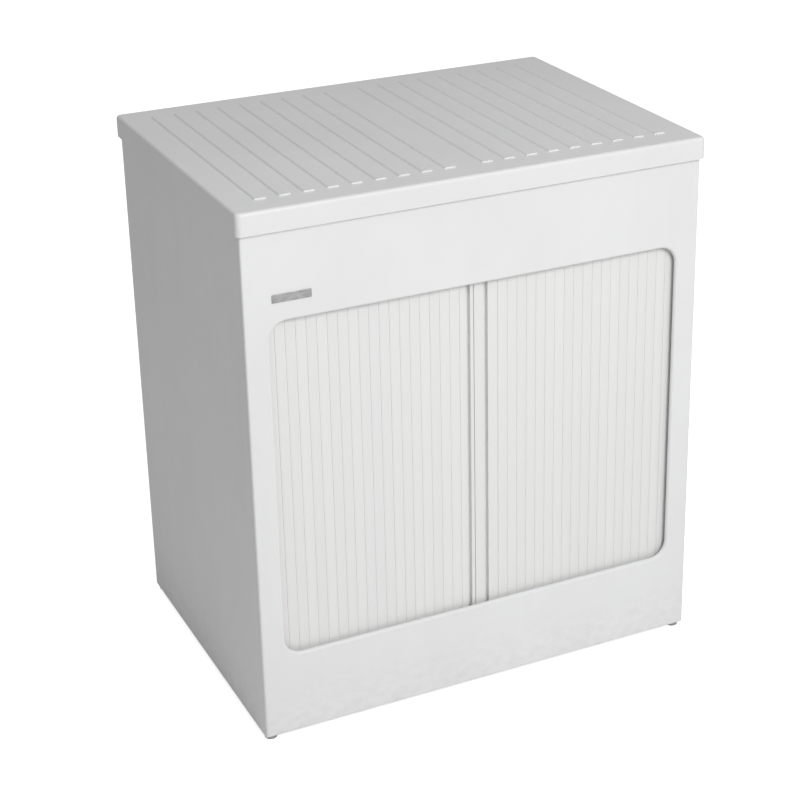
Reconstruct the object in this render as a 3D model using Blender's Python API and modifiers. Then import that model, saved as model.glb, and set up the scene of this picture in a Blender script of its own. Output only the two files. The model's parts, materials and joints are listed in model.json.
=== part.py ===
"""Utility cabinet with two tambour shutters and a ribbed lift-off lid.

Metres, +Z up. The front faces -Y, the floor is Z = 0, and the origin is
under the middle of the cabinet. Run it with blender --background --python part.py.
"""

import math

import bmesh
import bpy
from mathutils import Matrix, Vector

# Driving dimensions of the carcass
BODY_W = 0.690
BODY_D = 0.493
FOOT_H = 0.007
SEAM_Z = 0.760
LID_TOP = 0.792
GAP = 0.0003
SIDE_WALL = 0.003
FRONT_WALL = 0.0055
BASE_WALL = 0.006
LID_WALL = 0.0035
LID_PLATE = 0.004
LID_OVERHANG = 0.005
LID_CORNER_R = 0.008
LID_EDGE_R = 0.005

# Front opening
OPEN_HALF_W = 0.310
OPEN_Z0 = 0.1325
OPEN_Z1 = 0.6345
OPEN_R = 0.026
FRONT_EDGE_R = 0.004

# Tambour path, measured from the left outer face and the front face
PITCH = 0.015
SLATS = 19
PATH_IN_X = 0.0065
PATH_IN_Y = 0.0135
BEND_R = 0.0295
TAIL_START = -0.0055
TRAVEL = 0.050
SLAT_FRONT = 0.0015
SLAT_BACK = 0.0035
SLAT_Z0 = 0.1219
SLAT_Z1 = 0.6465

# Tracks, feet, badge and lid ribs
TRACK_FLOOR = 0.0035
TRACK_LIP = 0.004
TRACK_Z0 = 0.118
TRACK_Z1 = 0.6510
TRACK_DEPTH = 0.420
TRACK_SIDE_W = 0.016
TRACK_FRONT_W = 0.0245
FOOT_R = 0.009
FOOT_STEM_R = 0.004
SOCKET = 0.016
SOCKET_TOP = 0.040
BADGE_X0, BADGE_X1 = -0.305, -0.2495
BADGE_Z0, BADGE_Z1 = 0.662, 0.6735
BADGE_T = 0.001
RIB_W = 0.018
RIB_PITCH = 0.034
RIB_FIRST = 0.028
RIB_COUNT = 9
RIB_HALF_L = 0.2095
RIB_H = 0.002
RIB_SLOPE = 0.0028
RIB_ROOT = 0.0005
RIB_CORNER_R = 0.0035

HALF_W = BODY_W / 2
FRONT_Y = -BODY_D / 2
BACK_Y = BODY_D / 2
RIM_Z = LID_TOP - LID_PLATE - GAP
LEFT, RIGHT = -1, 1


def clear_scene():
    for obj in list(bpy.data.objects):
        bpy.data.objects.remove(obj, do_unlink=True)


def make_collection(name):
    collection = bpy.data.collections.new(name)
    bpy.context.scene.collection.children.link(collection)
    return collection


def make_material(name, colour, roughness, metallic=0.0):
    material = bpy.data.materials.new(name)
    material.use_nodes = True
    shader = material.node_tree.nodes["Principled BSDF"]
    shader.inputs["Base Color"].default_value = (*colour, 1.0)
    shader.inputs["Roughness"].default_value = roughness
    shader.inputs["Metallic"].default_value = metallic
    return material


def add_object(name, mesh, material, collection, at=(0, 0, 0)):
    obj = bpy.data.objects.new(name, mesh)
    obj.location = at
    if material:
        obj.data.materials.append(material)
    collection.objects.link(obj)
    return obj


def hide_helper(obj):
    obj.hide_render = True
    obj.display_type = "WIRE"


def box_mesh(name, low, high):
    """A cube primitive stretched between two corners."""
    size = [b - a for a, b in zip(low, high)]
    middle = [(a + b) / 2 for a, b in zip(low, high)]
    bm = bmesh.new()
    bmesh.ops.create_cube(bm, size=1.0)
    bmesh.ops.scale(bm, vec=size, verts=bm.verts)
    bmesh.ops.translate(bm, vec=middle, verts=bm.verts)
    mesh = bpy.data.meshes.new(name)
    bm.to_mesh(mesh)
    bm.free()
    return mesh


def add_box(name, low, high, material, collection):
    return add_object(name, box_mesh(name, low, high), material, collection)


def arc(cx, cy, radius, start, stop, steps):
    """Points along an arc, with its angles in degrees."""
    return [
        (
            cx + radius * math.cos(math.radians(start + (stop - start) * i / steps)),
            cy + radius * math.sin(math.radians(start + (stop - start) * i / steps)),
        )
        for i in range(steps + 1)
    ]


def rounded_rectangle(x0, y0, x1, y1, radius, steps):
    return (
        arc(x1 - radius, y0 + radius, radius, -90, 0, steps)
        + arc(x1 - radius, y1 - radius, radius, 0, 90, steps)
        + arc(x0 + radius, y1 - radius, radius, 90, 180, steps)
        + arc(x0 + radius, y0 + radius, radius, 180, 270, steps)
    )


def flat_curve(name, outlines, low, high):
    """A filled 2D curve, extruded from low to high along its own Z."""
    curve = bpy.data.curves.new(name, "CURVE")
    curve.dimensions = "2D"
    curve.fill_mode = "BOTH"
    curve.extrude = (high - low) / 2
    for outline in outlines:
        spline = curve.splines.new("POLY")
        spline.points.add(len(outline) - 1)
        for point, (x, y) in zip(spline.points, outline):
            point.co = (x, y, 0, 1)
        spline.use_cyclic_u = True
    return curve


def prism_mesh(name, outlines, low, high):
    """A closed mesh of a flat outline raised from Z low to Z high."""
    curve = flat_curve(name, outlines, low, high)
    guide = bpy.data.objects.new(name + "_outline", curve)
    bpy.context.scene.collection.objects.link(guide)
    graph = bpy.context.evaluated_depsgraph_get()
    mesh = bpy.data.meshes.new_from_object(guide.evaluated_get(graph))
    bpy.data.objects.remove(guide, do_unlink=True)
    bm = bmesh.new()
    bm.from_mesh(mesh)
    bmesh.ops.remove_doubles(bm, verts=bm.verts, dist=0.00001)
    bmesh.ops.translate(bm, vec=(0, 0, (low + high) / 2), verts=bm.verts)
    bmesh.ops.recalc_face_normals(bm, faces=bm.faces)
    bm.to_mesh(mesh)
    bm.free()
    mesh.name = name
    return mesh


def stand_up(mesh, front_y):
    """Turns a prism that was raised along Z so that it runs back from front_y."""
    mesh.transform(Matrix.Translation((0, front_y, 0)) @ Matrix.Rotation(math.radians(90), 4, "X"))


def boolean(obj, other, operation):
    modifier = obj.modifiers.new(operation.title(), "BOOLEAN")
    modifier.operation = operation
    modifier.solver = "EXACT"
    modifier.object = other
    hide_helper(other)


# Tambour path and the poles that its slats turn about


def path_point(along):
    """A point of the left path: along > 0 on the front run, along < 0 round the bend."""
    centre_x = -HALF_W + PATH_IN_X + BEND_R
    centre_y = FRONT_Y + PATH_IN_Y + BEND_R
    if along >= 0:
        return Vector((centre_x + along, centre_y - BEND_R))
    turned = -along / BEND_R
    if turned <= math.pi / 2:
        return Vector((centre_x - BEND_R * math.sin(turned), centre_y - BEND_R * math.cos(turned)))
    past = -along - BEND_R * math.pi / 2
    return Vector((centre_x - BEND_R, centre_y + past))


def slat_pins(travel):
    """Hinge pins of the left curtain, tail first, a pitch apart in a straight line."""
    along = TAIL_START + SLATS * PITCH - travel
    pins = [path_point(along)]
    for _ in range(SLATS):
        near, far = along - 1.2 * PITCH, along - 0.8 * PITCH
        for _ in range(50):
            middle = (near + far) / 2
            if (path_point(middle) - pins[-1]).length > PITCH:
                near = middle
            else:
                far = middle
        along = (near + far) / 2
        pins.append(path_point(along))
    return pins[::-1]


def slat_pose(pins, index):
    step = pins[index + 1] - pins[index]
    return pins[index], math.atan2(step.y, step.x)


def slat_pole(index):
    """The fixed axis that turns a slat from its closed place to its open one, or None."""
    start, start_angle = slat_pose(slat_pins(0.0), index)
    stop, stop_angle = slat_pose(slat_pins(TRAVEL), index)
    turn = stop_angle - start_angle
    if abs(turn) < math.radians(0.5):
        return None
    half = 0.5 / math.tan(turn / 2)
    middle, chord = (start + stop) / 2, stop - start
    return Vector((middle.x - chord.y * half, middle.y + chord.x * half))


# Pieces


def slat_outline(pin, angle, side, origin):
    """One slat's section: flat face, small chamfers and a back that narrows for the bend."""
    length, face, back = PITCH, -SLAT_FRONT, SLAT_BACK
    local = [
        (0.0012, face),
        (length - 0.0012, face),
        (length - 0.0005, face + 0.0008),
        (length - 0.0005, 0.0003),
        (length - 0.0016, back),
        (0.0016, back),
        (0.0005, 0.0003),
        (0.0005, face + 0.0008),
    ]
    cos, sin = math.cos(angle), math.sin(angle)
    placed = []
    for x, y in local:
        world_x = pin.x + cos * x - sin * y
        world_y = pin.y + sin * x + cos * y
        placed.append((-side * world_x - origin.x, world_y - origin.y))
    return placed


def add_slats(side, word, material, collection):
    """Nineteen slats: those that reach the bend have their origin on their pole."""
    pins = slat_pins(0.0)
    middle_z = (SLAT_Z0 + SLAT_Z1) / 2
    for index in range(SLATS):
        pin, angle = slat_pose(pins, index)
        pole = slat_pole(index)
        origin = Vector((-side * pole.x, pole.y)) if pole else Vector((-side * pin.x, pin.y))
        outline = slat_outline(pin, angle, side, origin)
        half = (SLAT_Z1 - SLAT_Z0) / 2
        mesh = prism_mesh(f"{word}_slat_{index + 1:02d}", [outline], -half, half)
        add_object(mesh.name, mesh, material, collection, (origin.x, origin.y, middle_z))


def stile_outline(side):
    """Section of a leading stile with its finger groove, as (x, depth behind the front)."""
    face, groove, rear = 0.012, 0.0185, 0.022
    if side == LEFT:
        section = [
            (-0.0294, 0.0123),
            (-0.0286, face),
            (-0.0198, face),
            (-0.0194, groove),
            (-0.0136, groove),
            (-0.0132, face),
            (-0.0083, face),
            (-0.0078, 0.0125),
            (-0.0078, 0.0165),
            (0.0035, 0.0165),
            (0.0035, rear),
            (-0.0270, rear),
            (-0.0278, 0.0170),
            (-0.0294, 0.0140),
        ]
    else:
        section = [
            (-0.0072, 0.0125),
            (-0.0067, face),
            (0.0072, face),
            (0.0076, groove),
            (0.0134, groove),
            (0.0138, face),
            (0.0286, face),
            (0.0294, 0.0123),
            (0.0294, 0.0140),
            (0.0278, 0.0170),
            (0.0270, rear),
            (0.0042, rear),
            (0.0042, 0.0160),
            (-0.0072, 0.0160),
        ]
    return [(x, FRONT_Y + depth) for x, depth in section]


def add_stile(side, word, material, collection, cutters):
    """The stile's back is notched at both ends, so that only its front half is in the tracks."""
    name = f"{word}_stile"
    stile = add_object(
        name, prism_mesh(name, [stile_outline(side)], SLAT_Z0, SLAT_Z1), material, collection
    )
    notch_front, notch_back = FRONT_Y + 0.0172, FRONT_Y + 0.030
    notch_h = 0.0044
    for end, z0, z1 in (
        ("foot", SLAT_Z0 - 0.005, SLAT_Z0 + notch_h),
        ("head", SLAT_Z1 - notch_h, SLAT_Z1 + 0.005),
    ):
        low, high = (-0.04, notch_front, z0), (0.04, notch_back, z1)
        cutter = add_box(f"{name}_{end}_notch", low, high, None, cutters)
        boolean(stile, cutter, "DIFFERENCE")
    return stile


def track_outline(side):
    """L-shaped guide plate: a front run and a run back along the side panel."""
    outer = HALF_W - SIDE_WALL - GAP
    front = FRONT_Y + FRONT_WALL + GAP
    points = [
        (GAP, front),
        (outer, front),
        (outer, FRONT_Y + TRACK_DEPTH),
        (outer - TRACK_SIDE_W, FRONT_Y + TRACK_DEPTH),
        (outer - TRACK_SIDE_W, FRONT_Y + TRACK_FRONT_W + BEND_R),
        (outer - TRACK_SIDE_W - BEND_R, FRONT_Y + TRACK_FRONT_W),
        (GAP, FRONT_Y + TRACK_FRONT_W),
    ]
    return [(side * x, y) for x, y in points]


def add_track(side, word, end, material, collection, helpers):
    """A floor plate with a front lip, and an inner lip along the straight front run."""
    if end == "bottom":
        plate = (TRACK_Z0, TRACK_Z0 + TRACK_FLOOR)
        lips = (plate[1] - 0.001, plate[1] + TRACK_LIP)
    else:
        plate = (TRACK_Z1 - TRACK_FLOOR, TRACK_Z1)
        lips = (plate[0] - TRACK_LIP, plate[0] + 0.001)
    name = f"{word}_{end}_track"
    track = add_object(name, prism_mesh(name, [track_outline(side)], *plate), material, collection)
    front = FRONT_Y + FRONT_WALL + GAP
    inner_start = HALF_W - PATH_IN_X - BEND_R - TRAVEL - PITCH
    runs = {
        "front_lip": (GAP, HALF_W - 0.040, front, front + 0.002),
        "inner_lip": (GAP, inner_start, FRONT_Y + 0.0182, FRONT_Y + 0.0205),
    }
    for lip, (x0, x1, y0, y1) in runs.items():
        xs = sorted((side * x0, side * x1))
        low, high = (xs[0], y0, lips[0]), (xs[1], y1, lips[1])
        helper = add_box(f"{name}_{lip}", low, high, None, helpers)
        boolean(track, helper, "UNION")


def round_edges(mesh, wanted, offset, segments):
    """Rounds the edges that wanted(edge) picks."""
    bm = bmesh.new()
    bm.from_mesh(mesh)
    picked = [edge for edge in bm.edges if wanted(edge)]
    bmesh.ops.bevel(
        bm,
        geom=picked,
        offset=offset,
        segments=segments,
        profile=0.5,
        affect="EDGES",
        material=-1,
    )
    bm.to_mesh(mesh)
    bm.free()


def on_front_rim(edge):
    """True for an edge of the front plane that also borders a side wall."""
    in_plane = all(vert.co.y < FRONT_Y + 0.0001 for vert in edge.verts)
    return in_plane and any(abs(face.normal.y) < 0.5 for face in edge.link_faces)


def on_top_rim(edge):
    """True for an edge of the lid's plate that also borders the skirt."""
    in_plane = all(vert.co.z > LID_TOP - 0.0001 for vert in edge.verts)
    return in_plane and any(abs(face.normal.z) < 0.5 for face in edge.link_faces)


def add_front_frame(material, collection):
    outer = [(-HALF_W, FOOT_H), (HALF_W, FOOT_H), (HALF_W, RIM_Z), (-HALF_W, RIM_Z)]
    hole = rounded_rectangle(-OPEN_HALF_W, OPEN_Z0, OPEN_HALF_W, OPEN_Z1, OPEN_R, 8)
    mesh = prism_mesh("front_frame", [outer, hole[::-1]], -FRONT_WALL, 0.0)
    stand_up(mesh, FRONT_Y)
    round_edges(mesh, on_front_rim, FRONT_EDGE_R, 3)
    add_object("front_frame", mesh, material, collection)


def add_panels(material, collection):
    inner = HALF_W - SIDE_WALL - GAP
    front = FRONT_Y + FRONT_WALL + GAP
    back = BACK_Y - SIDE_WALL
    for side, word in ((LEFT, "left"), (RIGHT, "right")):
        xs = sorted((side * HALF_W, side * (HALF_W - SIDE_WALL)))
        low, high = (xs[0], front, FOOT_H), (xs[1], BACK_Y, RIM_Z)
        add_box(f"{word}_side_panel", low, high, material, collection)
    add_box("back_panel", (-inner, back, FOOT_H), (inner, BACK_Y, RIM_Z), material, collection)
    top = TRACK_Z0 - GAP
    low, high = (-inner, front, top - BASE_WALL), (inner, back - GAP, top)
    add_box("base_panel", low, high, material, collection)


def lid_rib_mesh():
    """All ribs in one mesh: each a strip whose four sides slope up to a narrower top."""
    half_w, half_l = RIB_W / 2, RIB_HALF_L
    bm = bmesh.new()
    for side in (LEFT, RIGHT):
        for index in range(RIB_COUNT):
            x = side * (RIB_FIRST + index * RIB_PITCH)
            outline = rounded_rectangle(x - half_w, -half_l, x + half_w, half_l, RIB_CORNER_R, 2)
            strip = prism_mesh("rib", [outline], LID_TOP - RIB_ROOT, LID_TOP + RIB_H)
            for vert in strip.vertices:
                if vert.co.z > LID_TOP:
                    vert.co.x -= math.copysign(RIB_SLOPE, vert.co.x - x)
                    vert.co.y -= math.copysign(RIB_SLOPE, vert.co.y)
            bm.from_mesh(strip)
            bpy.data.meshes.remove(strip)
    mesh = bpy.data.meshes.new("lid_ribs")
    bm.to_mesh(mesh)
    bm.free()
    return mesh


def add_lid(material, collection, helpers):
    """A plate with a skirt: an outer block with rounded top edges, hollowed from below."""
    half_w, half_d = HALF_W + LID_OVERHANG, BODY_D / 2 + LID_OVERHANG + 0.0005
    outline = rounded_rectangle(-half_w, -half_d, half_w, half_d, LID_CORNER_R, 5)
    mesh = prism_mesh("lid", [outline], SEAM_Z, LID_TOP)
    round_edges(mesh, on_top_rim, LID_EDGE_R, 3)
    lid = add_object("lid", mesh, material, collection)
    low = (-half_w + LID_WALL, -half_d + LID_WALL, SEAM_Z - 0.01)
    high = (half_w - LID_WALL, half_d - LID_WALL, LID_TOP - LID_PLATE)
    boolean(lid, add_box("lid_hollow", low, high, None, helpers), "DIFFERENCE")
    boolean(lid, add_object("lid_ribs", lid_rib_mesh(), None, helpers), "UNION")


def turned(name, profile, at, material, collection):
    """A profile of (radius, height) points, outer side first, turned round its axis."""
    bm = bmesh.new()
    verts = [bm.verts.new((radius, 0, height)) for radius, height in profile]
    for first, second in zip(verts, verts[1:]):
        bm.edges.new((first, second))
    mesh = bpy.data.meshes.new(name)
    bm.to_mesh(mesh)
    bm.free()
    obj = add_object(name, mesh, material, collection, at)
    screw = obj.modifiers.new("Turn", "SCREW")
    screw.steps = screw.render_steps = 20
    screw.use_merge_vertices = True
    screw.merge_threshold = 0.00001
    return obj


def add_feet(foot_material, socket_material, collection, cutters):
    """Four glides whose stems plug into socket blocks in the bottom corners."""
    centre_x = HALF_W - SIDE_WALL - GAP - SOCKET / 2
    front_y = FRONT_Y + FRONT_WALL + GAP + SOCKET / 2
    back_y = BACK_Y - SIDE_WALL - GAP - SOCKET / 2
    stem_top = SOCKET_TOP - 0.006
    profile = [
        (0.0, stem_top),
        (FOOT_STEM_R, stem_top),
        (FOOT_STEM_R, FOOT_H - GAP),
        (FOOT_R, FOOT_H - GAP),
        (FOOT_R, 0.001),
        (FOOT_R - 0.001, 0.0),
        (0.0, 0.0),
    ]
    for end, y in (("front", front_y), ("rear", back_y)):
        for side, word in ((LEFT, "left"), (RIGHT, "right")):
            x = side * centre_x
            turned(f"{end}_{word}_foot", profile, (x, y, 0), foot_material, collection)
            half = SOCKET / 2
            low, high = (x - half, y - half, FOOT_H), (x + half, y + half, SOCKET_TOP)
            socket = add_box(f"{end}_{word}_foot_socket", low, high, socket_material, collection)
            bm = bmesh.new()
            bmesh.ops.create_cone(
                bm,
                cap_ends=True,
                segments=20,
                radius1=FOOT_STEM_R + GAP,
                radius2=FOOT_STEM_R + GAP,
                depth=0.1,
            )
            mesh = bpy.data.meshes.new("stem_hole")
            bm.to_mesh(mesh)
            bm.free()
            hole = add_object(f"{end}_{word}_stem_hole", mesh, None, cutters, (x, y, 0.02))
            boolean(socket, hole, "DIFFERENCE")


def main():
    clear_scene()
    cabinet = make_collection("tambour_cabinet")
    helpers = make_collection("cutters")
    shell = make_material("white_resin", (0.80, 0.80, 0.80), 0.45)
    slat = make_material("slat_resin", (0.79, 0.79, 0.77), 0.50)
    guide = make_material("guide_resin", (0.62, 0.62, 0.62), 0.60)
    rubber = make_material("foot_rubber", (0.20, 0.20, 0.21), 0.80)
    bright = make_material("bright_plate", (0.70, 0.70, 0.72), 0.25, 1.0)
    add_front_frame(shell, cabinet)
    add_panels(shell, cabinet)
    add_lid(shell, cabinet, helpers)
    for side, word in ((LEFT, "left"), (RIGHT, "right")):
        add_slats(side, word, slat, cabinet)
        add_stile(side, word, slat, cabinet, helpers)
        for end in ("bottom", "top"):
            add_track(side, word, end, guide, cabinet, helpers)
    add_feet(rubber, guide, cabinet, helpers)
    badge_y = FRONT_Y - GAP
    low, high = (BADGE_X0, badge_y - BADGE_T, BADGE_Z0), (BADGE_X1, badge_y, BADGE_Z1)
    add_box("badge_plate", low, high, bright, cabinet)


main()
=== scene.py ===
"""Looks of a white resin utility cabinet: tambour shutters, moulded front and ribbed lid."""

from __future__ import annotations

import json
import logging
import math
from dataclasses import dataclass
from enum import Enum
from typing import Callable

import bmesh
import bpy
from mathutils import Matrix, Vector

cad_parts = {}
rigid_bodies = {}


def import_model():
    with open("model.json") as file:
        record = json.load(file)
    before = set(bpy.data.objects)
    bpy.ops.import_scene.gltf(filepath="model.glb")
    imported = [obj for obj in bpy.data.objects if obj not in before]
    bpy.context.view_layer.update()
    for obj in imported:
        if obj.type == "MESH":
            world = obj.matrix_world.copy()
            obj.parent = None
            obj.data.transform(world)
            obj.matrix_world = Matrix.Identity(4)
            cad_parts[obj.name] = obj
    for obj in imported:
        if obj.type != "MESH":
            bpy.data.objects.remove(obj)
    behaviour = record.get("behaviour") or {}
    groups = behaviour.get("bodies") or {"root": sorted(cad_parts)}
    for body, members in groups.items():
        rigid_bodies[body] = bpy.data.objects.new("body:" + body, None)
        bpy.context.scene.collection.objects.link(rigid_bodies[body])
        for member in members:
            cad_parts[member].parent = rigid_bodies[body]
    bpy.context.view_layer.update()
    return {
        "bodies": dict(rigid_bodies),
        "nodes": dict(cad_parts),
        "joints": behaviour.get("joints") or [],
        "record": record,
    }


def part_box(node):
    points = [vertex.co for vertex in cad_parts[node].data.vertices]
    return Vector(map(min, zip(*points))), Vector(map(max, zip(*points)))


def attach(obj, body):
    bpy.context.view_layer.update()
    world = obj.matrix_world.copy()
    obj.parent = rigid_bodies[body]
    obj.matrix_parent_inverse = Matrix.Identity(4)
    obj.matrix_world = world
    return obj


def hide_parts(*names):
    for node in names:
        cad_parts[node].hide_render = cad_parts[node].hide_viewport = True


logger = logging.getLogger("tambour_cabinet")

Colour = tuple[float, float, float]
Outline = list[tuple[float, float]]
EdgeTest = Callable[[bmesh.types.BMEdge], bool]

RESIN_IOR = 1.49
# How far a cutting blank passes the walls that it cuts, in metres.
REACH = 0.01


class Join(Enum):
    """How one solid is combined with another."""

    CUT = "DIFFERENCE"
    MERGE = "UNION"


class Side(Enum):
    """The two hands of the cabinet, as the sign of their X."""

    LEFT = -1
    RIGHT = 1

    @property
    def word(self) -> str:
        """The hand's name as the CAD nodes spell it."""
        return self.name.lower()


# Finishes


class ShaderSheet:
    """A material while it is being wired: its nodes, its links and its Principled shader."""

    def __init__(self, name: str) -> None:
        """Starts a new material.

        Args:
            name: The material's name.
        """
        self.material = bpy.data.materials.new(name)
        self.material.use_nodes = True
        self.nodes = self.material.node_tree.nodes
        self.links = self.material.node_tree.links
        self.shader = self.nodes["Principled BSDF"]
        self.place = self.nodes.new("ShaderNodeTexCoord").outputs["Object"]

    def stretched(self, scale: tuple[float, float, float]) -> bpy.types.NodeSocket:
        """Object coordinates multiplied along each axis.

        Args:
            scale: The factor along X, Y and Z.

        Returns:
            The stretched coordinates.
        """
        node = self.nodes.new("ShaderNodeMapping")
        node.inputs["Scale"].default_value = scale
        self.links.new(self.place, node.inputs["Vector"])
        return node.outputs["Vector"]

    def noise(
        self, scale: tuple[float, float, float], detail: float = 3.0, roughness: float = 0.55
    ) -> bpy.types.NodeSocket:
        """Fractal noise with its own scale along each axis.

        Args:
            scale: Cells per metre along X, Y and Z.
            detail: The number of finer octaves.
            roughness: How strong the finer octaves are.

        Returns:
            The noise value, from 0 to 1.
        """
        node = self.nodes.new("ShaderNodeTexNoise")
        node.inputs["Scale"].default_value = 1.0
        node.inputs["Detail"].default_value = detail
        node.inputs["Roughness"].default_value = roughness
        self.links.new(self.stretched(scale), node.inputs["Vector"])
        return node.outputs["Fac"]

    def remap(
        self, value: bpy.types.NodeSocket, source: tuple[float, float], target: tuple[float, float]
    ) -> bpy.types.NodeSocket:
        """A value moved from one range to another, and held inside it.

        Args:
            value: What is moved.
            source: The range that it comes from.
            target: The range that it goes to.

        Returns:
            The moved value.
        """
        node = self.nodes.new("ShaderNodeMapRange")
        node.clamp = True
        bounds = ("From Min", "From Max", "To Min", "To Max")
        for socket, number in zip(bounds, (*source, *target)):
            node.inputs[socket].default_value = number
        self.links.new(value, node.inputs["Value"])
        return node.outputs["Result"]

    def compute(
        self,
        operation: str,
        first: bpy.types.NodeSocket,
        second: bpy.types.NodeSocket | float = 0.0,
    ) -> bpy.types.NodeSocket:
        """One step of arithmetic.

        Args:
            operation: The Math node's operation.
            first: The first operand.
            second: The second operand, a socket or a number.

        Returns:
            The result.
        """
        node = self.nodes.new("ShaderNodeMath")
        node.operation = operation
        self.links.new(first, node.inputs[0])
        if isinstance(second, float):
            node.inputs[1].default_value = second
        else:
            self.links.new(second, node.inputs[1])
        return node.outputs["Value"]

    def axis(self, letter: str) -> bpy.types.NodeSocket:
        """One Object coordinate, in metres.

        Args:
            letter: X, Y or Z.

        Returns:
            The coordinate.
        """
        node = self.nodes.new("ShaderNodeSeparateXYZ")
        self.links.new(self.place, node.inputs["Vector"])
        return node.outputs[letter]

    def blend(
        self,
        amount: bpy.types.NodeSocket,
        first: Colour | bpy.types.NodeSocket,
        second: Colour,
    ) -> bpy.types.NodeSocket:
        """A colour between two others.

        Args:
            amount: 0 for the first colour and 1 for the second.
            first: A colour, or the socket of one.
            second: The other colour.

        Returns:
            The blended colour.
        """
        node = self.nodes.new("ShaderNodeMix")
        node.data_type = "RGBA"
        self.links.new(amount, node.inputs["Factor"])
        if isinstance(first, tuple):
            node.inputs["A"].default_value = (*first, 1.0)
        else:
            self.links.new(first, node.inputs["A"])
        node.inputs["B"].default_value = (*second, 1.0)
        return node.outputs["Result"]

    def paint(self, colour: bpy.types.NodeSocket, roughness: bpy.types.NodeSocket) -> None:
        """Wires the colour and the roughness into the shader.

        Args:
            colour: The surface's colour.
            roughness: Its roughness, from 0 to 1.
        """
        self.links.new(colour, self.shader.inputs["Base Color"])
        self.links.new(roughness, self.shader.inputs["Roughness"])

    def relief(self, layers: list[tuple[bpy.types.NodeSocket, float]]) -> None:
        """Adds bump layers, coarse ones first.

        Args:
            layers: Pairs of a height and the depth in metres that it stands for.
        """
        normal = None
        for height, depth in layers:
            bump = self.nodes.new("ShaderNodeBump")
            bump.inputs["Strength"].default_value = 1.0
            bump.inputs["Distance"].default_value = depth
            self.links.new(height, bump.inputs["Height"])
            if normal is not None:
                self.links.new(normal, bump.inputs["Normal"])
            normal = bump.outputs["Normal"]
        if normal is not None:
            self.links.new(normal, self.shader.inputs["Normal"])


def shade(colour: Colour, factor: float, warmth: float = 0.0) -> Colour:
    """A darker or lighter version of a colour.

    Args:
        colour: The colour to start from.
        factor: What every channel is multiplied by.
        warmth: What red gains and blue loses.

    Returns:
        The new colour.
    """
    red, green, blue = (min(1.0, channel * factor) for channel in colour)
    return (min(1.0, red + warmth), green, max(0.0, blue - warmth))


@dataclass(frozen=True)
class MouldedResin:
    """Satin moulded plastic with a fine orange peel, slight sink marks and a little floor dust."""

    name: str
    colour: Colour
    gloss: tuple[float, float] = (0.36, 0.50)
    peel_per_m: float = 620.0
    peel_depth: float = 0.000035
    sink_depth: float = 0.00035
    dust_height: float = 0.10
    dust: Colour = (0.46, 0.44, 0.41)
    speck: Colour = (0.40, 0.40, 0.39)
    cloud_per_m: tuple[float, float, float] = (5.0, 5.0, 3.5)
    flow_per_m: tuple[float, float, float] = (26.0, 26.0, 3.0)
    patch_per_m: tuple[float, float, float] = (60.0, 60.0, 90.0)
    speck_per_m: tuple[float, float, float] = (900.0, 900.0, 900.0)
    sheen_per_m: tuple[float, float, float] = (34.0, 34.0, 20.0)
    sink_per_m: tuple[float, float, float] = (7.0, 7.0, 5.0)

    def material(self) -> bpy.types.Material:
        """Builds the material.

        Returns:
            The finished material.
        """
        sheet = ShaderSheet(self.name)
        cloud = sheet.noise(self.cloud_per_m, 5.0)
        flow = sheet.noise(self.flow_per_m, 3.0)
        tint = sheet.blend(
            sheet.remap(cloud, (0.35, 0.65), (0.0, 1.0)),
            shade(self.colour, 0.975, 0.003),
            shade(self.colour, 1.012, -0.002),
        )
        tint = sheet.blend(
            sheet.remap(flow, (0.48, 0.70), (0.0, 0.10)), tint, shade(self.colour, 0.90)
        )
        low = sheet.remap(sheet.axis("Z"), (0.0, self.dust_height), (1.0, 0.0))
        patch = sheet.remap(sheet.noise(self.patch_per_m, 5.0), (0.40, 0.72), (0.0, 0.22))
        tint = sheet.blend(sheet.compute("MULTIPLY", low, patch), tint, self.dust)
        fleck = sheet.remap(sheet.noise(self.speck_per_m, 1.0), (0.76, 0.80), (0.0, 0.10))
        tint = sheet.blend(fleck, tint, self.speck)
        rough = sheet.remap(sheet.noise(self.sheen_per_m, 4.0), (0.3, 0.7), self.gloss)
        sheet.paint(tint, rough)
        peel = sheet.noise((self.peel_per_m,) * 3, 1.5, 0.4)
        sink = sheet.noise(self.sink_per_m, 1.0)
        sheet.relief([(sink, self.sink_depth), (peel, self.peel_depth)])
        sheet.shader.inputs["IOR"].default_value = RESIN_IOR
        sheet.shader.inputs["Specular IOR Level"].default_value = 0.42
        return sheet.material


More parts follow.
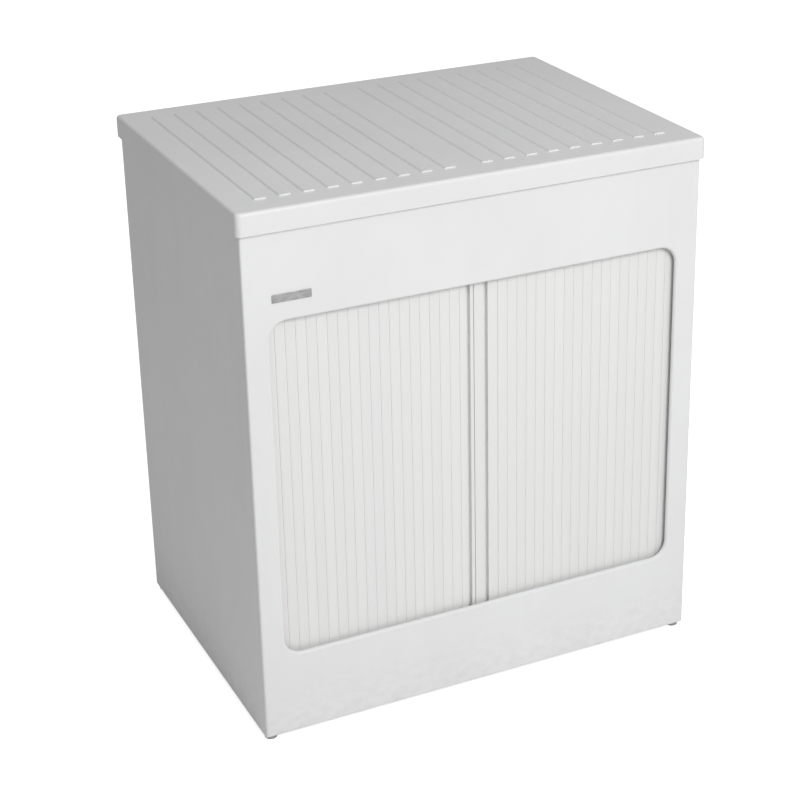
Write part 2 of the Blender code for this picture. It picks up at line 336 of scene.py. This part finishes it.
@dataclass(frozen=True)
class ExtrudedResin:
    """Drawn plastic strip: lengthways die lines, a tint of its own for each slat, and painted shade
    darkening the joints between slats.
    """

    name: str
    colour: Colour
    pitch: float
    first_joint: float
    gloss: tuple[float, float] = (0.34, 0.46)
    streak_per_m: tuple[float, float, float] = (420.0, 420.0, 2.5)
    sheen_per_m: tuple[float, float, float] = (300.0, 300.0, 6.0)
    line_per_m: tuple[float, float, float] = (1100.0, 1100.0, 3.0)
    line_depth: float = 0.00002
    wave_per_m: tuple[float, float, float] = (60.0, 60.0, 4.0)
    wave_depth: float = 0.00022
    hand_offset: float = 31.0

    def material(self) -> bpy.types.Material:
        """Builds the material.

        Returns:
            The finished material.
        """
        sheet = ShaderSheet(self.name)
        across = sheet.axis("X")
        outward = sheet.compute("SUBTRACT", sheet.compute("ABSOLUTE", across), self.first_joint)
        counted = sheet.compute("DIVIDE", outward, self.pitch)
        cell = sheet.compute("FLOOR", counted)
        hand = sheet.compute("MULTIPLY", sheet.compute("SIGN", across), self.hand_offset)
        own = sheet.nodes.new("ShaderNodeTexWhiteNoise")
        own.noise_dimensions = "1D"
        sheet.links.new(sheet.compute("ADD", cell, hand), own.inputs["W"])
        cool = shade(self.colour, 0.985, -0.004)
        warm = shade(self.colour, 1.005, 0.004)
        tint = sheet.blend(own.outputs["Value"], cool, warm)
        # Painted shade: the colour darkens towards every joint between slats, standing in for the
        # shade that falls into the gaps.
        part = sheet.compute("FRACT", counted)
        off_centre = sheet.compute("ABSOLUTE", sheet.compute("SUBTRACT", part, 0.5))
        joint_shade = sheet.remap(off_centre, (0.44, 0.50), (0.0, 0.06))
        tint = sheet.blend(joint_shade, tint, shade(self.colour, 0.70))
        streak = sheet.remap(sheet.noise(self.streak_per_m, 2.0), (0.35, 0.75), (0.0, 0.12))
        tint = sheet.blend(streak, tint, shade(self.colour, 0.90, 0.004))
        rough = sheet.remap(sheet.noise(self.sheen_per_m, 3.0), (0.3, 0.7), self.gloss)
        sheet.paint(tint, rough)
        lines = sheet.noise(self.line_per_m, 2.0, 0.5)
        wave = sheet.noise(self.wave_per_m, 2.0)
        sheet.relief([(wave, self.wave_depth), (lines, self.line_depth)])
        sheet.shader.inputs["IOR"].default_value = RESIN_IOR
        return sheet.material


@dataclass(frozen=True)
class BrightMetal:
    """Plated sheet with a faint lengthways brush and small dull patches."""

    name: str
    colour: Colour = (0.50, 0.50, 0.51)
    haze_per_m: tuple[float, float, float] = (90.0, 90.0, 160.0)
    brush_per_m: tuple[float, float, float] = (70.0, 70.0, 2600.0)
    scratch_per_m: tuple[float, float, float] = (60.0, 60.0, 3400.0)
    scratch_depth: float = 0.000002

    def material(self) -> bpy.types.Material:
        """Builds the material.

        Returns:
            The finished material.
        """
        sheet = ShaderSheet(self.name)
        haze = sheet.remap(sheet.noise(self.haze_per_m, 4.0), (0.4, 0.7), (0.0, 1.0))
        tint = sheet.blend(haze, self.colour, shade(self.colour, 0.72, 0.01))
        rough = sheet.remap(sheet.noise(self.brush_per_m, 3.0), (0.3, 0.7), (0.22, 0.34))
        sheet.paint(tint, rough)
        sheet.relief([(sheet.noise(self.scratch_per_m, 1.0), self.scratch_depth)])
        sheet.shader.inputs["Metallic"].default_value = 1.0
        return sheet.material


@dataclass(frozen=True)
class FootRubber:
    """Dull soft plastic with a dusty, pitted skin."""

    name: str
    colour: Colour = (0.30, 0.30, 0.30)
    grime_per_m: float = 240.0
    pits_per_m: float = 1500.0
    pit_depth: float = 0.00006

    def material(self) -> bpy.types.Material:
        """Builds the material.

        Returns:
            The finished material.
        """
        sheet = ShaderSheet(self.name)
        grime = sheet.noise((self.grime_per_m,) * 3, 5.0)
        dusty = sheet.remap(grime, (0.35, 0.70), (0.0, 1.0))
        tint = sheet.blend(dusty, self.colour, shade(self.colour, 1.35, 0.01))
        sheet.paint(tint, sheet.remap(grime, (0.3, 0.7), (0.62, 0.85)))
        sheet.relief([(sheet.noise((self.pits_per_m,) * 3, 2.0), self.pit_depth)])
        return sheet.material


@dataclass(frozen=True)
class Finishes:
    """Every material of the cabinet, built once."""

    shell: bpy.types.Material
    lid: bpy.types.Material
    slat: bpy.types.Material
    guide: bpy.types.Material
    metal: bpy.types.Material
    rubber: bpy.types.Material

    @classmethod
    def build(cls) -> Finishes:
        """Builds all materials.

        Returns:
            The set of finishes.
        """
        white: Colour = (0.80, 0.80, 0.805)
        cream: Colour = (0.80, 0.80, 0.79)
        grey: Colour = (0.60, 0.60, 0.61)
        return cls(
            shell=MouldedResin("moulded_white", white).material(),
            lid=MouldedResin("moulded_white_lid", shade(white, 0.99), sink_depth=0.0005).material(),
            slat=ExtrudedResin("drawn_white", cream, pitch=0.015, first_joint=0.0295).material(),
            guide=MouldedResin("moulded_grey", grey, gloss=(0.5, 0.65)).material(),
            metal=BrightMetal("bright_plating").material(),
            rubber=FootRubber("foot_rubber").material(),
        )


# Modelling


def block(low: Vector, high: Vector) -> bmesh.types.BMesh:
    """A rectangular blank between two corners.

    Args:
        low: Its lowest corner.
        high: Its highest corner.

    Returns:
        The blank, to be shaped further.
    """
    solid = bmesh.new()
    bmesh.ops.create_cube(solid, size=1.0)
    bmesh.ops.scale(solid, vec=high - low, verts=solid.verts)
    bmesh.ops.translate(solid, vec=(low + high) / 2, verts=solid.verts)
    return solid


def runs_along(axis: int) -> EdgeTest:
    """A test for edges that run along one axis.

    Args:
        axis: 0, 1 or 2 for X, Y or Z.

    Returns:
        The test.
    """

    def test(edge: bmesh.types.BMEdge) -> bool:
        """True if the edge runs along the axis."""
        step = edge.verts[1].co - edge.verts[0].co
        return abs(step[axis]) > 0.999 * step.length

    return test


def rims(axis: int, level: float) -> EdgeTest:
    """A test for the outline of the flat face at one level of an axis.

    Args:
        axis: 0, 1 or 2 for X, Y or Z.
        level: Where the face is.

    Returns:
        The test.
    """

    def test(edge: bmesh.types.BMEdge) -> bool:
        """True if the edge is on the level and borders a wall."""
        flat = all(abs(vert.co[axis] - level) < 0.00005 for vert in edge.verts)
        return flat and any(abs(face.normal[axis]) < 0.5 for face in edge.link_faces)

    return test


def soften(solid: bmesh.types.BMesh, test: EdgeTest, radius: float, segments: int) -> None:
    """Rounds the edges that pass a test.

    Args:
        solid: The mesh to change.
        test: Which edges are rounded.
        radius: The radius of the round.
        segments: How many facets it has.
    """
    solid.normal_update()
    bmesh.ops.bevel(
        solid,
        geom=[edge for edge in solid.edges if test(edge)],
        offset=radius,
        segments=segments,
        profile=0.5,
        affect="EDGES",
        material=-1,
    )


def combine(
    solid: bmesh.types.BMesh, tool: bmesh.types.BMesh, how: Join
) -> bmesh.types.BMesh:
    """Cuts a tool out of a solid, or merges it in.

    Args:
        solid: The mesh to change, which is freed.
        tool: The other mesh, which is freed.
        how: The kind of join.

    Returns:
        The combined mesh.
    """
    blanks = []
    for role, shape in (("blank", solid), ("tool", tool)):
        mesh = bpy.data.meshes.new(role)
        shape.to_mesh(mesh)
        shape.free()
        blanks.append(bpy.data.objects.new(role, mesh))
        bpy.context.scene.collection.objects.link(blanks[-1])
    modifier = blanks[0].modifiers.new("Join", "BOOLEAN")
    modifier.operation = how.value
    modifier.solver = "EXACT"
    modifier.object = blanks[1]
    graph = bpy.context.evaluated_depsgraph_get()
    made = bpy.data.meshes.new_from_object(blanks[0].evaluated_get(graph))
    result = bmesh.new()
    result.from_mesh(made)
    for blank in blanks:
        bpy.data.objects.remove(blank, do_unlink=True)
    bpy.data.meshes.remove(made)
    return result


def raised(outline: Outline, low: float, high: float) -> bmesh.types.BMesh:
    """A flat outline extruded upwards.

    Args:
        outline: Its X and Y, in order round the outline.
        low: The lower Z.
        high: The upper Z.

    Returns:
        The closed mesh.
    """
    solid = bmesh.new()
    floor = solid.faces.new([solid.verts.new((x, y, low)) for x, y in outline])
    grown = bmesh.ops.extrude_face_region(solid, geom=[floor], use_keep_orig=True)
    top = [item for item in grown["geom"] if isinstance(item, bmesh.types.BMVert)]
    bmesh.ops.translate(solid, vec=(0, 0, high - low), verts=top)
    bmesh.ops.recalc_face_normals(solid, faces=solid.faces)
    return solid


def arc(
    centre: tuple[float, float], radius: float, start: float, stop: float, steps: int
) -> Outline:
    """Points along an arc.

    Args:
        centre: Its centre.
        radius: Its radius.
        start: The first angle, in degrees.
        stop: The last angle, in degrees.
        steps: How many chords it has.

    Returns:
        The points, both ends included.
    """
    turns = [math.radians(start + (stop - start) * i / steps) for i in range(steps + 1)]
    return [(centre[0] + radius * math.cos(t), centre[1] + radius * math.sin(t)) for t in turns]


@dataclass(frozen=True)
class Workshop:
    """Turns finished meshes into pieces that ride on the cabinet's bodies."""

    finishes: Finishes

    def piece(
        self,
        name: str,
        solid: bmesh.types.BMesh,
        material: bpy.types.Material,
        body: str,
        slot: str,
        nodes: tuple[str, ...],
        crease: float = 32.0,
    ) -> bpy.types.Object:
        """Makes one finished piece.

        Args:
            name: The piece's name.
            solid: Its mesh, which is freed.
            material: Its finish.
            body: The body that it rides on.
            slot: The record's material slot; not used.
            nodes: The CAD nodes that it stands for.
            crease: Edges sharper than this many degrees stay crisp.

        Returns:
            The new object.
        """
        mesh = bpy.data.meshes.new(name)
        solid.to_mesh(mesh)
        solid.free()
        mesh.polygons.foreach_set("use_smooth", [True] * len(mesh.polygons))
        mesh.set_sharp_from_angle(angle=math.radians(crease))
        mesh.materials.append(material)
        obj = bpy.data.objects.new(name, mesh)
        bpy.context.scene.collection.objects.link(obj)
        weighted = obj.modifiers.new("Flat faces stay flat", "WEIGHTED_NORMAL")
        weighted.keep_sharp = True
        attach(obj, body)
        if nodes:
            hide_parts(*nodes)
        logger.info("%s on %s: %d faces", name, body, len(mesh.polygons))
        return obj


# Sub-assemblies


@dataclass
class Carcass:
    """The moulded front with its window, the side and rear panels, and the inner floor."""

    window_half_width: float = 0.310
    window_low: float = 0.1325
    window_high: float = 0.6345
    window_radius: float = 0.026
    front_round: float = 0.004
    rear_round: float = 0.0028
    foot_hem: float = 0.0006
    flute_pitch: float = 0.085
    flute_half_width: float = 0.009
    flute_low: float = 0.060
    flute_high: float = 0.735
    flute_depth: float = 0.0012
    flute_end_round: float = 0.0088
    flute_floor_round: float = 0.001

    def build(self, shop: Workshop, nodes: dict[str, bpy.types.Object]) -> None:
        """Builds the front and the panels.

        Args:
            shop: Where pieces are finished.
            nodes: The CAD nodes by name.
        """
        self.front(shop)
        for side in Side:
            self.side_panel(shop, side)
        self.rear_panel(shop)
        nodes["base_panel"].data.materials[0] = shop.finishes.shell

    def front(self, shop: Workshop) -> None:
        """Cuts the window through the front, then rounds every edge that faces forward.

        Args:
            shop: Where pieces are finished.
        """
        low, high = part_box("front_frame")
        frame = block(low, high)
        opening = block(
            Vector((-self.window_half_width, low.y - REACH, self.window_low)),
            Vector((self.window_half_width, high.y + REACH, self.window_high)),
        )
        soften(opening, runs_along(1), self.window_radius, 12)
        frame = combine(frame, opening, Join.CUT)
        soften(frame, rims(1, low.y), self.front_round, 6)
        finish = shop.finishes.shell
        shop.piece("moulded_front", frame, finish, "cabinet", "white_resin", ("front_frame",))

    def side_panel(self, shop: Workshop, side: Side) -> None:
        """One side wall, with its rear corner rounded and a small hem round its foot.

        Args:
            shop: Where pieces are finished.
            side: Which wall.
        """
        name = f"{side.word}_side_panel"
        low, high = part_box(name)
        wall = block(low, high)
        outer = low.x if side is Side.LEFT else high.x

        def rear_corner(edge: bmesh.types.BMEdge) -> bool:
            """True for the upright edge at the outer rear corner."""
            return all(abs(v.co.x - outer) < 1e-5 and v.co.y > high.y - 1e-5 for v in edge.verts)

        soften(wall, rear_corner, self.rear_round, 6)
        soften(wall, rims(2, low.z), self.foot_hem, 2)
        finish = shop.finishes.shell
        shop.piece(f"{side.word}_wall", wall, finish, "cabinet", "white_resin", (name,))

    def rear_panel(self, shop: Workshop) -> None:
        """The back, with shallow upright stiffening flutes pressed into its outer face.

        Args:
            shop: Where pieces are finished.
        """
        low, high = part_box("back_panel")
        wall = block(low, high)
        bottom = high.y - self.flute_depth
        for index in range(-3, 4):
            middle = index * self.flute_pitch
            flute = block(
                Vector((middle - self.flute_half_width, bottom, self.flute_low)),
                Vector((middle + self.flute_half_width, high.y + REACH, self.flute_high)),
            )
            soften(flute, runs_along(1), self.flute_end_round, 8)
            soften(flute, rims(1, bottom), self.flute_floor_round, 2)
            wall = combine(wall, flute, Join.CUT)
        finish = shop.finishes.shell
        shop.piece("rear_wall", wall, finish, "cabinet", "white_resin", ("back_panel",))


@dataclass
class RibbedLid:
    """The cap: a plate with rounded rims, a skirt, and two fields of raised ribs."""

    plate_top: float = 0.792
    plate: float = 0.004
    wall: float = 0.0035
    corner_round: float = 0.008
    rim_round: float = 0.005
    hem_round: float = 0.0008
    inner_corner: float = 0.003
    rib_width: float = 0.0192
    rib_pitch: float = 0.034
    rib_first: float = 0.028
    rib_count: int = 9
    rib_half_length: float = 0.2095
    rib_height: float = 0.002
    rib_slope: float = 0.0028
    rib_end_slope: float = 0.0003
    rib_root: float = 0.0005
    rib_corner: float = 0.0015
    rib_top_round: float = 0.0005

    def rib(self, middle: float) -> bmesh.types.BMesh:
        """One rib whose long sides slope up to a softened top, with steep ends.

        Args:
            middle: The X of its middle line.

        Returns:
            The rib, rooted a little way into the plate.
        """
        half = self.rib_width / 2
        low = Vector((middle - half, -self.rib_half_length, self.plate_top - self.rib_root))
        high = Vector((middle + half, self.rib_half_length, self.plate_top + self.rib_height))
        strip = block(low, high)
        soften(strip, runs_along(2), self.rib_corner, 4)
        for vert in strip.verts:
            if vert.co.z > self.plate_top:
                vert.co.x -= math.copysign(self.rib_slope, vert.co.x - middle)
                vert.co.y -= math.copysign(self.rib_end_slope, vert.co.y)
        soften(strip, rims(2, high.z), self.rib_top_round, 3)
        return strip

    def build(self, shop: Workshop) -> None:
        """Builds the lid: a hollow cap with its ribs merged in.

        Args:
            shop: Where pieces are finished.
        """
        low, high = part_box("lid")
        high.z = self.plate_top
        cap = block(low, high)
        soften(cap, runs_along(2), self.corner_round, 8)
        soften(cap, rims(2, high.z), self.rim_round, 6)
        soften(cap, rims(2, low.z), self.hem_round, 2)
        hollow = block(
            low + Vector((self.wall, self.wall, -REACH)),
            high - Vector((self.wall, self.wall, self.plate)),
        )
        soften(hollow, runs_along(2), self.inner_corner, 3)
        cap = combine(cap, hollow, Join.CUT)
        ribs = bmesh.new()
        for side in Side:
            for index in range(self.rib_count):
                strip = self.rib(side.value * (self.rib_first + index * self.rib_pitch))
                mesh = bpy.data.meshes.new("strip")
                strip.to_mesh(mesh)
                strip.free()
                ribs.from_mesh(mesh)
                bpy.data.meshes.remove(mesh)
        cap = combine(cap, ribs, Join.MERGE)
        finish = shop.finishes.lid
        shop.piece("ribbed_lid", cap, finish, "lid", "white_resin", ("lid",), crease=40.0)


@dataclass
class TambourShutter:
    """Nineteen linked slats and a leading stile, on one hand of the cabinet."""

    side: Side
    count: int = 19
    pitch: float = 0.015
    half_width: float = 0.345
    front_y: float = -0.2465
    run_depth: float = 0.0135
    side_depth: float = 0.0065
    bend_radius: float = 0.0295
    tail_start: float = -0.0055
    slat_face: float = -0.0015
    slat_back: float = 0.0035
    slat_edge: float = 0.0001
    slat_chamfer: float = 0.0009
    slat_crown: float = 0.00006
    slat_taper: float = 0.0016
    lip_round: float = 0.00025
    lip_depth: float = 0.0130
    notch_height: float = 0.0044
    notch_depth: float = 0.0172

    def path(self, along: float) -> Vector:
        """A point of the left-hand track.

        Args:
            along: The distance from the start of the bend, negative into it.

        Returns:
            The point's X and Y.
        """
        centre = Vector((-self.half_width + self.side_depth + self.bend_radius, self.front_y))
        centre.y += self.run_depth + self.bend_radius
        if along >= 0:
            return centre + Vector((along, -self.bend_radius))
        turned = -along / self.bend_radius
        return centre - self.bend_radius * Vector((math.sin(turned), math.cos(turned)))

    def pins(self) -> list[Vector]:
        """The joints between slats, tail first, each a pitch from the next.

        Returns:
            One more point than there are slats.
        """
        along = self.tail_start + self.count * self.pitch
        found = [self.path(along)]
        for _ in range(self.count):
            near, far = along - 1.2 * self.pitch, along - 0.8 * self.pitch
            for _ in range(50):
                along = (near + far) / 2
                if (self.path(along) - found[-1]).length > self.pitch:
                    near = along
                else:
                    far = along
            found.append(self.path(along))
        return found[::-1]

    def slat_section(self) -> Outline:
        """The slat's section: a faintly crowned face between two chamfers, and a narrower back.

        Returns:
            Its outline, from the tail joint, with the face towards negative Y.
        """
        wide, face, back = self.pitch, self.slat_face, self.slat_back
        edge, slope, taper = self.slat_edge, self.slat_chamfer, self.slat_taper
        crown = [
            (
                slope + (wide - 2 * slope) * i / 6,
                face - self.slat_crown * math.sin(math.pi * i / 6),
            )
            for i in range(7)
        ]
        shoulder = [(wide - edge, face + 0.0003), (wide - edge, 0.0002)]
        heel = [(wide - taper, back), (taper, back), (edge, 0.0002), (edge, face + 0.0003)]
        return crown + shoulder + heel

    def slats(self, shop: Workshop, body_of: dict[str, str]) -> None:
        """Builds every slat where its CAD node is.

        Args:
            shop: Where pieces are finished.
            body_of: The body of each CAD node.
        """
        pins = self.pins()
        for index in range(self.count):
            name = f"{self.side.word}_slat_{index + 1:02d}"
            low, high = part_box(name)
            slat = raised(self.slat_section(), low.z, high.z)
            step = pins[index + 1] - pins[index]
            turn = Matrix.Rotation(math.atan2(step.y, step.x), 4, "Z")
            shift = Matrix.Translation((pins[index].x, pins[index].y, 0))
            bmesh.ops.transform(slat, matrix=shift @ turn, verts=slat.verts)
            if self.side is Side.RIGHT:
                bmesh.ops.scale(slat, vec=(-1, 1, 1), verts=slat.verts)
            bmesh.ops.recalc_face_normals(slat, faces=slat.faces)
            piece = f"{self.side.word}_strip_{index + 1:02d}"
            finish = shop.finishes.slat
            body = body_of[name]
            shop.piece(piece, slat, finish, body, "slat_resin", (name,), crease=50.0)

    def stile_section(self) -> Outline:
        """The stile's section: a face, a finger groove and a lap.

        Returns:
            Its outline, as X and depth behind the front.
        """
        face, floor, rear = 0.012, 0.0185, 0.022
        if self.side is Side.LEFT:
            front = [(-0.0294, 0.0123), (-0.0286, face), (-0.0198, face), (-0.0194, floor)]
            front += [(-0.0136, floor), (-0.0132, face), (-0.0083, face), (-0.0078, 0.0125)]
            return front + [
                (-0.0078, 0.0165), (0.0035, 0.0165), (0.0035, rear),
                (-0.0270, rear), (-0.0278, 0.0170), (-0.0294, 0.0140),
            ]
        front = [(-0.0072, 0.0125), (-0.0067, face), (0.0072, face), (0.0076, floor)]
        front += [(0.0134, floor), (0.0138, face), (0.0286, face), (0.0294, 0.0123)]
        return front + [
            (0.0294, 0.0140), (0.0278, 0.0170), (0.0270, rear),
            (0.0042, rear), (0.0042, 0.0160), (-0.0072, 0.0160),
        ]

    def stile(self, shop: Workshop) -> None:
        """Builds the leading stile, with its lips rounded and its ends notched for the tracks.

        Args:
            shop: Where pieces are finished.
        """
        name = f"{self.side.word}_stile"
        low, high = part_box(name)
        outline = [(x, self.front_y + depth) for x, depth in self.stile_section()]
        bar = raised(outline, low.z, high.z)

        def lip(edge: bmesh.types.BMEdge) -> bool:
            """True for an upright edge at the front of the bar."""
            upright = abs(edge.verts[0].co.z - edge.verts[1].co.z) > 0.1
            return upright and edge.verts[0].co.y < self.front_y + self.lip_depth

        soften(bar, lip, self.lip_round, 2)
        lower = (low.z - REACH, low.z + self.notch_height)
        upper = (high.z - self.notch_height, high.z + REACH)
        for bottom, top in (lower, upper):
            notch = block(
                Vector((low.x - REACH, self.front_y + self.notch_depth, bottom)),
                Vector((high.x + REACH, high.y + REACH, top)),
            )
            bar = combine(bar, notch, Join.CUT)
        piece = f"{self.side.word}_pull_stile"
        body = f"{self.side.word}_shutter"
        finish = shop.finishes.slat
        shop.piece(piece, bar, finish, body, "slat_resin", (name,), crease=40.0)


@dataclass
class Fittings:
    """The badge plate, the feet, their sockets and the shutters' tracks."""

    foot_radius: float = 0.009
    stem_radius: float = 0.004
    shoulder: float = 0.0067
    stem_round: float = 0.0005
    pad_round: float = 0.0006
    tread_round: float = 0.0015
    badge_corner: float = 0.0012
    badge_edge: float = 0.00025
    badge_rim: float = 0.0007
    badge_step: float = 0.0002
    badge_sink: float = 0.0003

    def badge(self, shop: Workshop) -> None:
        """A blank plate with a raised rim round a sunk field.

        Args:
            shop: Where pieces are finished.
        """
        low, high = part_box("badge_plate")
        plate = block(low, high)
        soften(plate, runs_along(1), self.badge_corner, 5)
        soften(plate, rims(1, low.y), self.badge_edge, 3)
        plate.normal_update()
        forward = [face for face in plate.faces if face.normal.y < -0.99]
        field = max(forward, key=bmesh.types.BMFace.calc_area)
        for width, rise in ((self.badge_rim, 0.0), (self.badge_step, -self.badge_sink)):
            bmesh.ops.inset_individual(plate, faces=[field], thickness=width, depth=rise)
        finish = shop.finishes.metal
        shop.piece("blank_badge", plate, finish, "cabinet", "bright_plate", ("badge_plate",))

    def foot(self, shop: Workshop, name: str) -> None:
        """One turned glide: a stem, a flared pad and a rounded tread.

        Args:
            shop: Where pieces are finished.
            name: The foot's CAD node.
        """
        low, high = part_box(name)
        middle = (low + high) / 2
        pad, stem, curl = self.foot_radius, self.stem_radius, self.tread_round
        tread = arc((pad - curl, curl), curl, 0, -90, 4)
        profile = [(0.0, high.z), (stem - self.stem_round, high.z)]
        profile += [(stem, high.z - self.stem_round), (stem, self.shoulder)]
        profile += [(pad - self.pad_round, self.shoulder)]
        profile += [(pad, self.shoulder - self.pad_round), *tread, (0.0, 0.0)]
        turned = bmesh.new()
        verts = [turned.verts.new((radius, 0, height)) for radius, height in profile]
        edges = [turned.edges.new(pair) for pair in zip(verts, verts[1:])]
        bmesh.ops.spin(
            turned,
            geom=verts + edges,
            cent=(0, 0, 0),
            axis=(0, 0, 1),
            angle=math.tau,
            steps=28,
            use_merge=True,
        )
        bmesh.ops.remove_doubles(turned, verts=turned.verts, dist=0.00001)
        bmesh.ops.recalc_face_normals(turned, faces=turned.faces)
        bmesh.ops.translate(turned, vec=(middle.x, middle.y, 0), verts=turned.verts)
        finish = shop.finishes.rubber
        shop.piece(f"{name}_glide", turned, finish, "cabinet", "foot_rubber", (name,))

    def build(self, shop: Workshop, nodes: dict[str, bpy.types.Object]) -> None:
        """Builds the badge and the feet, and dresses the tracks and the sockets.

        Args:
            shop: Where pieces are finished.
            nodes: The CAD nodes by name.
        """
        self.badge(shop)
        for end in ("front", "rear"):
            for side in Side:
                name = f"{end}_{side.word}_foot"
                self.foot(shop, name)
                nodes[f"{name}_socket"].data.materials[0] = shop.finishes.guide
        for side in Side:
            for end in ("top", "bottom"):
                nodes[f"{side.word}_{end}_track"].data.materials[0] = shop.finishes.guide


# Studio


@dataclass
class Studio:
    """A pale floor, a soft key light, a weaker one from above, even white air and the camera."""

    camera_place: tuple[float, float, float] = (-1.1199, -2.4495, 1.6018)
    heading: float = 25.844
    pitch: float = 22.68
    roll: float = -0.747
    lens: float = 87.87
    shift: tuple[float, float] = (-0.06, -0.09)
    floor_half_width: float = 60.0
    floor_gap: float = 0.0002
    floor_glow: float = 0.75
    air_strength: float = 0.36
    lamps_look_at: tuple[float, float, float] = (0.0, 0.0, 0.42)

    def floor(self) -> None:
        """A wide pale floor with a soft surface, which looks brighter than the light it gives."""
        ground = bmesh.new()
        bmesh.ops.create_grid(ground, x_segments=8, y_segments=8, size=self.floor_half_width)
        mesh = bpy.data.meshes.new("studio_floor")
        ground.to_mesh(mesh)
        ground.free()
        sheet = ShaderSheet("studio_paper")
        grain = sheet.noise((2.0, 2.0, 2.0), 3.0)
        tint = sheet.blend(grain, (0.93, 0.93, 0.93), (0.95, 0.95, 0.95))
        sheet.paint(tint, sheet.remap(grain, (0.3, 0.7), (0.9, 1.0)))
        sheet.shader.inputs["Specular IOR Level"].default_value = 0.0
        sheet.shader.inputs["Emission Color"].default_value = (1.0, 1.0, 1.0, 1.0)
        seen = sheet.nodes.new("ShaderNodeLightPath").outputs["Is Camera Ray"]
        glow = sheet.compute("MULTIPLY", seen, self.floor_glow)
        sheet.links.new(glow, sheet.shader.inputs["Emission Strength"])
        mesh.materials.append(sheet.material)
        ground_piece = bpy.data.objects.new("studio_floor", mesh)
        ground_piece.location = (0, 0, -self.floor_gap)
        bpy.context.scene.collection.objects.link(ground_piece)

    def lamp(
        self, name: str, place: tuple[float, float, float], size: float, power: float
    ) -> None:
        """A square area light that looks at the middle of the cabinet.

        Args:
            name: The light's name.
            place: Where it stands.
            size: The length of its side.
            power: Its power in watts.
        """
        data = bpy.data.lights.new(name, "AREA")
        data.size = size
        data.energy = power
        lamp = bpy.data.objects.new(name, data)
        lamp.location = place
        look = Vector(self.lamps_look_at) - lamp.location
        lamp.rotation_euler = look.to_track_quat("-Z", "Y").to_euler()
        bpy.context.scene.collection.objects.link(lamp)

    def world(self) -> None:
        """An even, white surrounding."""
        world = bpy.data.worlds.new("studio_air")
        world.use_nodes = True
        backdrop = world.node_tree.nodes["Background"]
        backdrop.inputs["Color"].default_value = (1.0, 1.0, 1.0, 1.0)
        backdrop.inputs["Strength"].default_value = self.air_strength
        bpy.context.scene.world = world

    def camera(self) -> None:
        """The camera, at the cabinet's upper front left."""
        data = bpy.data.cameras.new("studio_camera")
        data.lens = self.lens
        data.shift_x, data.shift_y = self.shift
        eye = bpy.data.objects.new("studio_camera", data)
        eye.location = self.camera_place
        turn, dip = math.radians(self.heading), math.radians(self.pitch)
        look = Vector(
            (math.sin(turn) * math.cos(dip), math.cos(turn) * math.cos(dip), -math.sin(dip))
        )
        level = look.to_track_quat("-Z", "Y").to_matrix()
        tilt = Matrix.Rotation(math.radians(self.roll), 3, "Z")
        eye.rotation_euler = (level @ tilt).to_euler()
        bpy.context.scene.collection.objects.link(eye)
        bpy.context.scene.camera = eye

    def build(self) -> None:
        """Builds the whole studio."""
        self.floor()
        self.world()
        self.lamp("key", (0.25, -2.9, 2.40), 1.4, 60.5)
        self.lamp("top_fill", (0.2, -0.9, 3.2), 2.4, 9.0)
        self.camera()
        bpy.context.scene.view_settings.view_transform = "Standard"


def main() -> None:
    """Builds every sub-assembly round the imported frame, then the studio."""
    logging.basicConfig(level=logging.INFO, format="%(message)s")
    for leftover in list(bpy.data.objects):
        bpy.data.objects.remove(leftover, do_unlink=True)
    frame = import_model()
    nodes = frame["nodes"]
    bodies = frame["record"]["behaviour"]["bodies"]
    body_of = {node: body for body, members in bodies.items() for node in members}
    Studio().build()
    shop = Workshop(Finishes.build())
    Carcass().build(shop, nodes)
    RibbedLid().build(shop)
    for side in Side:
        shutter = TambourShutter(side)
        shutter.slats(shop, body_of)
        shutter.stile(shop)
    Fittings().build(shop, nodes)


if __name__ == "__main__":
    main()
